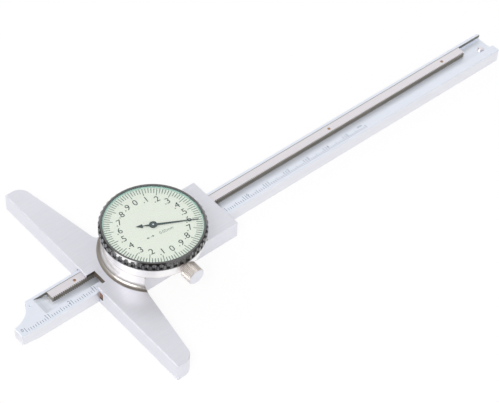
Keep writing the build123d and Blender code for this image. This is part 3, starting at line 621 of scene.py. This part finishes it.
class GAUGE_OT_dial_pieces(Operator):
    """Make the dial, the crystal, the ring under it in painted edge shade, and the pointer"""

    bl_idname = "gauge.dial_pieces"
    bl_label = "Dial and pointer"

    def execute(self, context):
        form = settings().form
        face, glass_low = dial_z(), GLASS_HIGH.z - form.glass
        card = ring(form.hole_radius, DIAL_RADIUS, PLATE_LOW.z, face)
        # Ring under the crystal, whose colour is painted edge shade
        crystal_edge_shade = ring(DIAL_RADIUS - form.crystal_edge_shade, DIAL_RADIUS, face, glass_low)
        window = ring(0, DIAL_RADIUS, glass_low, GLASS_HIGH.z)
        for name, node, bm, slot in (
            ("dial_card", "dial_plate", card, "dial_paint"),
            ("crystal_edge_shade_ring", "glass_seal", crystal_edge_shade, "seal_plastic"),
            ("window", "crystal", window, "crystal"),
        ):
            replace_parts(new_piece(name, bm, "bezel_unit"), node)
        low = face + form.pointer_gap
        middle = low + form.pointer_gap
        high = middle + form.pointer_gap
        needle = bmesh.new()
        add_slab(needle, self.outline(form), low, middle)
        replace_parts(new_piece("needle", needle, "pointer_unit"), "pointer")
        hub = ring(form.pin_radius, form.hub_radius, low, high)
        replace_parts(new_piece("hub", hub, "pointer_unit"), "pointer_hub")
        end = ring(0, form.pin_radius, low, high, steps=32)
        new_piece("arbor_end", end, "pointer_unit")
        return {"FINISHED"}

    @staticmethod
    def outline(form):
        """Needle with a tapered blade and an arrow for its tail, turned to its angle at rest."""
        root, tip, barb = form.pointer_width / 2, form.pointer_tip / 2, form.arrow_width / 2
        neck = form.arrow_length - form.pointer_tail
        side = [(form.pointer_length, tip), (0, root), (neck, tip), (neck, barb)]
        outline = [*side, (-form.pointer_tail, 0), *((x, -y) for x, y in reversed(side))]
        along = Vector((math.cos(form.pointer_angle), math.sin(form.pointer_angle)))
        across = Vector((-along.y, along.x))
        return [tuple(DIAL_CENTRE.xy + along * x + across * y) for x, y in outline]


class GAUGE_OT_beam_piece(Operator):
    """Relieve the underside of the beam's tip"""

    bl_idname = "gauge.beam_piece"
    bl_label = "Beam with relieved tip"

    def execute(self, context):
        form = settings().form
        bm = bmesh.new()
        bm.from_mesh(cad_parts["beam"].data)
        bmesh.ops.scale(bm, vec=(1 / MM, 1 / MM, 1 / MM), verts=bm.verts)
        bmesh.ops.remove_doubles(bm, verts=bm.verts, dist=1e-4)
        start = Vector((BEAM_LOW.x + form.relief_length, 0.0, BEAM_LOW.z))
        slope = Vector((-form.relief_length, 0.0, form.relief_height))
        below = Vector((-slope.z, 0.0, slope.x)).normalized()
        parts = bm.verts[:] + bm.edges[:] + bm.faces[:]
        cut = bmesh.ops.bisect_plane(bm, geom=parts, plane_co=start, plane_no=below, clear_outer=True)
        edges = [item for item in cut["geom_cut"] if isinstance(item, bmesh.types.BMEdge)]
        bmesh.ops.holes_fill(bm, edges=edges, sides=0)
        for face in bm.faces:
            face.smooth = False
        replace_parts(new_piece("blade", bm, "beam_unit"), "beam")
        return {"FINISHED"}


class GAUGE_OT_gib_piece(Operator):
    """Make the gib with its end near the measuring face"""

    bl_idname = "gauge.gib_piece"
    bl_label = "Gib"

    def execute(self, context):
        low, high = (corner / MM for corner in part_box("gib_strip"))
        low.x = BODY_LOW.x + settings().form.gib_recess
        bm = bmesh.new()
        size = Matrix.Diagonal((*(high - low), 1.0))
        bmesh.ops.create_cube(bm, size=1.0, matrix=Matrix.Translation((low + high) / 2) @ size)
        rounding = {"offset": GIB_ROUNDING, "segments": 2, "profile": 0.5, "material": -1}
        bmesh.ops.bevel(bm, geom=bm.edges[:], affect="EDGES", **rounding)
        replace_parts(new_piece("gib", bm, "gauge_body"), "gib_strip")
        return {"FINISHED"}


class GAUGE_OT_dial_print(Operator):
    """Print the divisions, numbers and graduation on the dial plate"""

    bl_idname = "gauge.dial_print"
    bl_label = "Dial print"

    def execute(self, context):
        dial = settings().dial
        low, high = dial_z() - dial.depth / 2, dial_z() + dial.depth / 2
        upright = dial.zero - math.pi / 2
        marks = bmesh.new()
        numbers = bmesh.new()
        for i in range(dial.divisions):
            direction = dial.zero - i * 2 * math.pi / dial.divisions
            numbered = i % dial.marks_per_number == 0
            inner = dial.rim - (dial.long_mark if numbered else dial.short_mark)
            ends = [self.around(r, direction) for r in (inner, dial.rim)]
            add_bar(marks, *ends, dial.line, low, high)
            if numbered:
                tenth = i // dial.marks_per_number % 10
                words = f".{tenth}" if tenth else "0"
                at = self.around(dial.number_radius, direction)
                add_text(numbers, words, at, dial.number_height, low, high, upright)
        label = bmesh.new()
        offset = Vector((dial.label_right, -dial.label_down))
        offset.rotate(Matrix.Rotation(upright, 2))
        at = (DIAL_CENTRE.x + offset.x, DIAL_CENTRE.y + offset.y)
        add_text(label, "0.02mm", at, dial.label_height, low, high, upright)
        self.arrows(label, dial, upright, low, high)
        for name, bm, paint in (
            ("dial_marks", marks, ink("mark ink", dial.mark_ink)),
            ("dial_numbers", numbers, ink("number ink", dial.number_ink)),
            ("dial_label", label, ink("label ink", dial.label_ink)),
        ):
            new_piece(name, bm, "bezel_unit", paint)
        return {"FINISHED"}

    @staticmethod
    def arrows(bm, dial, upright, low, high):
        """Two small arrow heads that point at each other's bars."""
        turned = Matrix.Rotation(upright, 4, "Z")
        size = dial.arrow_height
        for side in (-1, 1):
            turn = Matrix.Rotation(upright - side * math.pi / 2, 4, "Z")
            for shift, width, corners in ARROW_PARTS:
                offset = turned @ Vector((dial.arrows_right + side * shift * size, -dial.label_down, 0))
                x, y = DIAL_CENTRE.x + offset.x, DIAL_CENTRE.y + offset.y
                bmesh.ops.create_cone(
                    bm,
                    cap_ends=True,
                    segments=corners,
                    radius1=width * size,
                    radius2=width * size,
                    depth=high - low,
                    matrix=Matrix.Translation((x, y, (low + high) / 2)) @ turn,
                )

    @staticmethod
    def around(radius, direction):
        x = DIAL_CENTRE.x + radius * math.cos(direction)
        y = DIAL_CENTRE.y + radius * math.sin(direction)
        return x, y


class GAUGE_OT_body_finish(Operator):
    """Ground base and stem, polished boss and case, painted shade in the beam's slot and window,
    painted dark reflection round the boss's foot
    """

    bl_idname = "gauge.body_finish"
    bl_label = "Body finish"

    def execute(self, context):
        looks = settings().finish
        body = Finish("ground steel")
        top = self.plate_top()
        polished = body.z.above(top + 0.1, 0.1)
        lines = body.noise(BRUSH_ALONG_X)
        fine = body.noise(BRUSH_FINE, detail=2.0)
        cloud = body.noise((0.06, 0.06, 0.06), detail=2.0)
        rough = (lines - 0.5) * looks.brushing + (fine - 0.5) * looks.brushing
        ground = 1 - polished
        face = BODY_LOW.x + SKIN
        # These masks give the painted shade in the beam's slot and the window
        recessed = body.y.between(*RECESS_SIDES) * body.x.above(face) * body.z.above(RECESS_FLOOR)
        window = body.y.between(*WINDOW_SIDES) * body.x.between(face, BODY_LOW.x + WINDOW_END)
        reach = LAND_Z + RECESS_ROOF + window * (top - LAND_Z - RECESS_ROOF - SKIN)
        inside = recessed * (1 - (body.z - reach).above(0.0))
        seam = body.z.above(BODY_HIGH.z - SEAM_BELOW, FINE_BLUR)
        # These masks give the painted dark reflection round the boss's foot
        foot = body.z.above(top + FINE_BLUR, FINE_BLUR / 2)
        flare_reflection = foot * (1 - body.z.above(top + looks.flare_reflection_height, FLARE_BLUR))
        metal = polished.mix(looks.steel, looks.polish)
        shade = 1 + rough * ground + (cloud - 0.5) * looks.brushing / 2
        tone = inside.mix(body.tint(metal, shade), looks.recess_shade)
        smooth = ground * (looks.steel_roughness + rough) + polished * looks.polish_roughness
        body.set(
            base_color=seam.mix(flare_reflection.mix(tone, looks.flare_reflection), looks.seam),
            metallic=0.45 - polished * 0.1 + inside * 0.5 + flare_reflection * 0.35,
            roughness=smooth + inside * 0.2 + flare_reflection * 0.2,
            normal=body.bump(lines + fine / 2, looks.brushing, 0.008),
        ).put_on("base_body")
        cover = brushed(Finish("cover steel"), looks.steel, looks.steel_roughness, looks.brushing)
        cover.set(metallic=1.0).put_on("back_cover")
        case = Finish("polished steel")
        haze = case.noise((0.4, 0.4, 2.0))
        seam = 1 - case.z.above(BODY_HIGH.z + SEAM_ABOVE, FINE_BLUR)
        case.set(
            base_color=seam.mix(case.tint(looks.polish, 0.98 + haze * 0.04), looks.seam),
            metallic=0.35,
            roughness=looks.polish_roughness + haze * 0.05,
        ).put_on("dial_case")
        return {"FINISHED"}

    @staticmethod
    def plate_top():
        """Height of the base's flat top: the thickness at the end of an arm."""
        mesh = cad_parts["base_body"].data
        start = (BODY_HIGH.y - ARM_END) * MM
        return max(v.co.z for v in mesh.vertices if v.co.y > start) / MM


class GAUGE_OT_beam_finish(Operator):
    """Satin beam with painted shade on the rim's inner wall, ground rack with painted shade on its
    hobbed side and underside, pins
    """

    bl_idname = "gauge.beam_finish"
    bl_label = "Beam finish"

    def execute(self, context):
        looks = settings().finish
        beam = Finish("beam steel")
        sides = 1 - beam.y.between(BEAM_LOW.y + 0.03, BEAM_HIGH.y - 0.03, FINE_BLUR)
        end = 1 - beam.x.above(BEAM_LOW.x + SKIN)
        tone = sides.math("MAXIMUM", end).mix(looks.beam, looks.beam_side)
        # These masks give the painted shade on the rim's inner wall beside the rack
        band = beam.z.between(*(BEAM_HIGH.z - below for below in RIM_BAND))
        wall = band * beam.y.between(RACK_HIGH.y - RIM_WALL, RACK_HIGH.y + RIM_WALL)
        tone = wall.mix(tone, looks.rim_wall_shade)
        brushed(beam, tone, 0.4, looks.brushing * 0.6).set(metallic=0.5).put_on("blade", "beam")
        rack = Finish("rack steel")
        lines = rack.noise(BRUSH_ALONG_X)
        # These masks give the painted shade: every face under the rack's top, and a strip along its +Y
        # edge
        below = 1 - rack.z.above(RACK_HIGH.z - 0.06, FINE_BLUR)
        side = below.math("MAXIMUM", rack.y.above(RACK_HIGH.y - 0.2))
        shade = 1 + (lines - 0.5) * looks.brushing
        rack.set(
            base_color=side.mix(rack.tint(looks.rack, shade), looks.teeth_shade),
            metallic=0.6,
            roughness=0.32 + side * 0.2 + (lines - 0.5) * looks.brushing,
            normal=rack.bump(lines, looks.brushing, 0.006),
        ).put_on("rack")
        for name, tone, node in (
            ("pin bronze", looks.pins, "rack_pins"),
            ("stop steel", looks.rack, "stop_pin"),
        ):
            brushed(Finish(name), tone, 0.3, looks.brushing, BRUSH_FINE).set(metallic=0.8).put_on(node)
        return {"FINISHED"}


class GAUGE_OT_dial_finish(Operator):
    """Bezel, crystal, ring under the crystal in painted edge shade, dial plate, pointer and clamp screw
    with painted light and shade in stripes round it
    """

    bl_idname = "gauge.dial_finish"
    bl_label = "Dial finish"

    def execute(self, context):
        looks = settings().finish
        bezel = Finish("black bezel")
        grain = bezel.noise((1.5, 1.5, 1.5))
        bezel.set(
            base_color=bezel.tint(looks.bezel, 0.9 + grain * 0.2),
            roughness=0.16 + grain * 0.06,
            specular_ior_level=0.6,
            coat_weight=1.0,
            coat_roughness=0.06,
            coat_ior=1.8,
        ).put_on("bezel_ring", "bezel")
        plate = Finish("dial paint")
        cloud = plate.noise((0.5, 0.5, 0.5), detail=2.0)
        plate.set(
            base_color=plate.tint(looks.dial, 0.99 + cloud * 0.02),
            roughness=0.6 + cloud * 0.05,
            specular_ior_level=0.2,
        ).put_on("dial_card", "dial_plate")
        # The ring under the crystal gets painted shade and crystal-edge tint as its colour
        crystal_edge_shade = Finish("crystal_edge_shade")
        crystal_edge_shade.set(
            base_color=crystal_edge_shade.tint(looks.crystal_edge_shade, 0.96 + crystal_edge_shade.noise((1.0, 1.0, 1.0)) * 0.08),
            roughness=0.4,
            specular_ior_level=0.3,
        ).put_on("crystal_edge_shade_ring", "glass_seal")
        glass = Finish("crystal")
        glass.set(
            base_color=looks.crystal,
            roughness=0.03,
            alpha=0.04,
            specular_ior_level=0.5,
        ).put_on("window", "crystal")
        hand = Finish("pointer paint")
        hand.set(
            base_color=hand.tint(looks.pointer, 0.9 + hand.noise((2.0, 2.0, 2.0)) * 0.2),
            roughness=0.35,
        ).put_on("needle", "hub", "pointer", "pointer_hub")
        self.clamp(looks)
        return {"FINISHED"}

    @staticmethod
    def clamp(looks):
        """Knurled steel with painted light and shade in stripes round it, and a smooth end face."""
        clamp = Finish("knurled steel")
        turned = clamp.noise((0.4, 6.0, 0.4))
        end = 1 - clamp.y.above(CLAMP_LOW.y + 0.1, 0.1)
        middle = (CLAMP_LOW + CLAMP_HIGH) / 2
        around = (clamp.z - middle.z).math("ARCTAN2", clamp.x - middle.x)
        # Painted light and shade: the knurl's colour goes lighter and darker in stripes round the axis
        shaded_ridges = (around * looks.shaded_ridges).math("SINE")
        knurl = clamp.tint(looks.knurl, 0.92 + turned * 0.1 + shaded_ridges * 0.32)
        clamp.set(
            base_color=end.mix(knurl, looks.steel),
            metallic=0.6,
            roughness=0.3 + turned * 0.1,
        ).put_on("clamp_screw")


class GAUGE_OT_train_finish(Operator):
    """Brass, bronze and steel of the gib, the gear train and the screws"""

    bl_idname = "gauge.train_finish"
    bl_label = "Train finish"

    def execute(self, context):
        looks = settings().finish
        brass = ("drive_wheel", "backlash_wheel", "wheel_collet", "train_bridge", "bridge_pillars")
        for name, tone, roughness, nodes in (
            ("brass", looks.brass, 0.28, brass),
            ("bronze", looks.bronze, 0.4, ("gib", "gib_strip", "lower_bushes", "upper_bushes")),
            ("arbor steel", looks.steel, 0.2, ("rack_arbor", "centre_arbor", "arbor_end")),
            ("screw steel", looks.steel, 0.3, ("cover_screws", "case_screws", "bridge_screws")),
            ("spring steel", srgb(120, 122, 136), 0.3, ("gib_spring", "hairpin_spring")),
        ):
            brushed(Finish(name), tone, roughness, looks.brushing).set(metallic=1.0).put_on(*nodes)
        return {"FINISHED"}


class GAUGE_OT_stage(Operator):
    """Set up the bench, the lamps and the camera"""

    bl_idname = "gauge.stage"
    bl_label = "Stage"

    def execute(self, context):
        stage = settings().stage
        self.floor(stage)
        self.world(stage)
        self.lamps()
        self.camera(context, stage)
        context.scene.view_settings.view_transform = "Standard"
        return {"FINISHED"}

    @staticmethod
    def floor(stage):
        bm = bmesh.new()
        bmesh.ops.create_grid(bm, x_segments=1, y_segments=1, size=BENCH_SIZE)
        mesh = bpy.data.meshes.new("bench")
        bm.to_mesh(mesh)
        bm.free()
        bench = bpy.data.objects.new("bench", mesh)
        bpy.context.scene.collection.objects.link(bench)
        paper = bpy.data.materials.new("paper")
        paper.use_nodes = True
        tree = paper.node_tree
        tree.nodes.clear()
        start = Field(tree)
        kinds = ("Is Camera Ray", "Is Glossy Ray", "Is Transmission Ray")
        camera, glossy, through = (start.node("ShaderNodeLightPath", output=kind) for kind in kinds)
        seen = (camera * SEEN_SHARE).math("MAXIMUM", glossy).math("MAXIMUM", through)
        white = start.node("ShaderNodeEmission", inputs={"Color": (*stage.floor, 1.0), "Strength": 1.0})
        matt = start.node("ShaderNodeBsdfDiffuse", inputs={"Color": (*stage.floor, 1.0)})
        both = start.node("ShaderNodeMixShader", inputs={0: seen, 1: matt, 2: white})
        start.node("ShaderNodeOutputMaterial", inputs={"Surface": both})
        mesh.materials.append(paper)

    @staticmethod
    def world(stage):
        world = bpy.data.worlds.new("studio")
        world.use_nodes = True
        tree = world.node_tree
        tree.nodes.clear()
        start = Field(tree)
        direction = start.node("ShaderNodeTexCoord", output="Generated")
        parts = (start.node("ShaderNodeSeparateXYZ", inputs={0: direction}, output=i) for i in range(3))
        x, y, z = parts
        level_part = (x * x + y * y + 1e-6).math("SQRT")

        def sector(azimuth, width):
            """1 towards a direction in plan, over a width."""
            towards = x * math.cos(azimuth) + y * math.sin(azimuth)
            return (towards / level_part).above(math.cos(width / 2), FINE_BLUR)

        def background(tone, strength):
            return start.node("ShaderNodeBackground", inputs={"Color": tone, "Strength": strength})

        boxes = start.node("ShaderNodeValToRGB", {"stops": BOX_STOPS}, {0: z})
        gap = sector(stage.gap_azimuth, stage.gap_width)
        strip = sector(stage.strip_azimuth, stage.strip_width) * z.between(*STRIP_HEIGHTS)
        bright = 1 + strip * (stage.strip - 1.0)
        glossy = start.node("ShaderNodeLightPath", output="Is Glossy Ray")
        seen = start.node("ShaderNodeLightPath", output="Is Camera Ray")
        studio = background(gap.mix(boxes, stage.gap), bright * stage.boxes)
        soft = background(WHITE, stage.ambient)
        white = background(WHITE, 1.0)
        lit = start.node("ShaderNodeMixShader", inputs={0: glossy, 1: soft, 2: studio})
        both = start.node("ShaderNodeMixShader", inputs={0: seen, 1: lit, 2: white})
        start.node("ShaderNodeOutputWorld", inputs={"Surface": both})
        bpy.context.scene.world = world

    @staticmethod
    def lamps():
        """Soft boxes: name, place, size and power."""
        for name, at, size, power in LAMPS:
            lamp = bpy.data.lights.new(name, "AREA")
            lamp.size = size
            lamp.energy = power
            holder = bpy.data.objects.new(name, lamp)
            holder.location = at
            holder.visible_glossy = False
            holder.rotation_euler = (Vector(LAMP_AIM) - Vector(at)).to_track_quat("-Z", "Y").to_euler()
            bpy.context.scene.collection.objects.link(holder)

    @staticmethod
    def camera(context, stage):
        around, over, roll = stage.azimuth, stage.elevation, stage.roll
        away = math.cos(over)
        back = Vector((math.sin(around) * away, -math.cos(around) * away, math.sin(over)))
        right = Vector((0, 0, 1)).cross(back).normalized()
        up = back.cross(right)
        rolled_right = right * math.cos(roll) + up * math.sin(roll)
        rolled_up = up * math.cos(roll) - right * math.sin(roll)
        turn = Matrix((rolled_right, rolled_up, back)).transposed().to_4x4()
        data = bpy.data.cameras.new("camera")
        data.lens = stage.lens
        data.clip_start = 0.01
        data.clip_end = 20.0
        camera = bpy.data.objects.new("camera", data)
        camera.matrix_world = Matrix.Translation(stage.eye) @ turn
        context.scene.collection.objects.link(camera)
        context.scene.camera = camera


class GAUGE_PT_panel(Panel):
    """Depth gauge tools in the sidebar"""

    bl_idname = "GAUGE_PT_panel"
    bl_label = "Depth gauge"
    bl_space_type = "VIEW_3D"
    bl_region_type = "UI"
    bl_category = "Depth gauge"

    def draw(self, context):
        for group in ("scale", "form", "dial", "finish", "stage"):
            box = self.layout.box()
            values = getattr(context.scene.depth_gauge, group)
            for name in values.__annotations__:
                box.prop(values, name)
        for operator in OPERATORS:
            self.layout.operator(operator.bl_idname)


OPERATORS = (
    GAUGE_OT_bezel_piece,
    GAUGE_OT_dial_pieces,
    GAUGE_OT_beam_piece,
    GAUGE_OT_gib_piece,
    GAUGE_OT_body_finish,
    GAUGE_OT_beam_finish,
    GAUGE_OT_dial_finish,
    GAUGE_OT_train_finish,
    GAUGE_OT_beam_scale,
    GAUGE_OT_dial_print,
    GAUGE_OT_stage,
)
GROUPS = (
    GaugeScaleSettings,
    GaugeFormSettings,
    GaugeDialSettings,
    GaugeFinishSettings,
    GaugeStageSettings,
    GaugeSettings,
)
CLASSES = (*GROUPS, *OPERATORS, GAUGE_PT_panel)


def register():
    for cls in CLASSES:
        bpy.utils.register_class(cls)
    bpy.types.Scene.depth_gauge = PointerProperty(type=GaugeSettings)


def unregister():
    del bpy.types.Scene.depth_gauge
    for cls in reversed(CLASSES):
        bpy.utils.unregister_class(cls)


def main():
    register()
    bpy.ops.gauge.bezel_piece()
    bpy.ops.gauge.dial_pieces()
    bpy.ops.gauge.beam_piece()
    bpy.ops.gauge.gib_piece()
    bpy.ops.gauge.body_finish()
    bpy.ops.gauge.beam_finish()
    bpy.ops.gauge.dial_finish()
    bpy.ops.gauge.train_finish()
    bpy.ops.gauge.beam_scale()
    bpy.ops.gauge.dial_print()
    bpy.ops.gauge.stage()


if __name__ == "__main__":
    main()
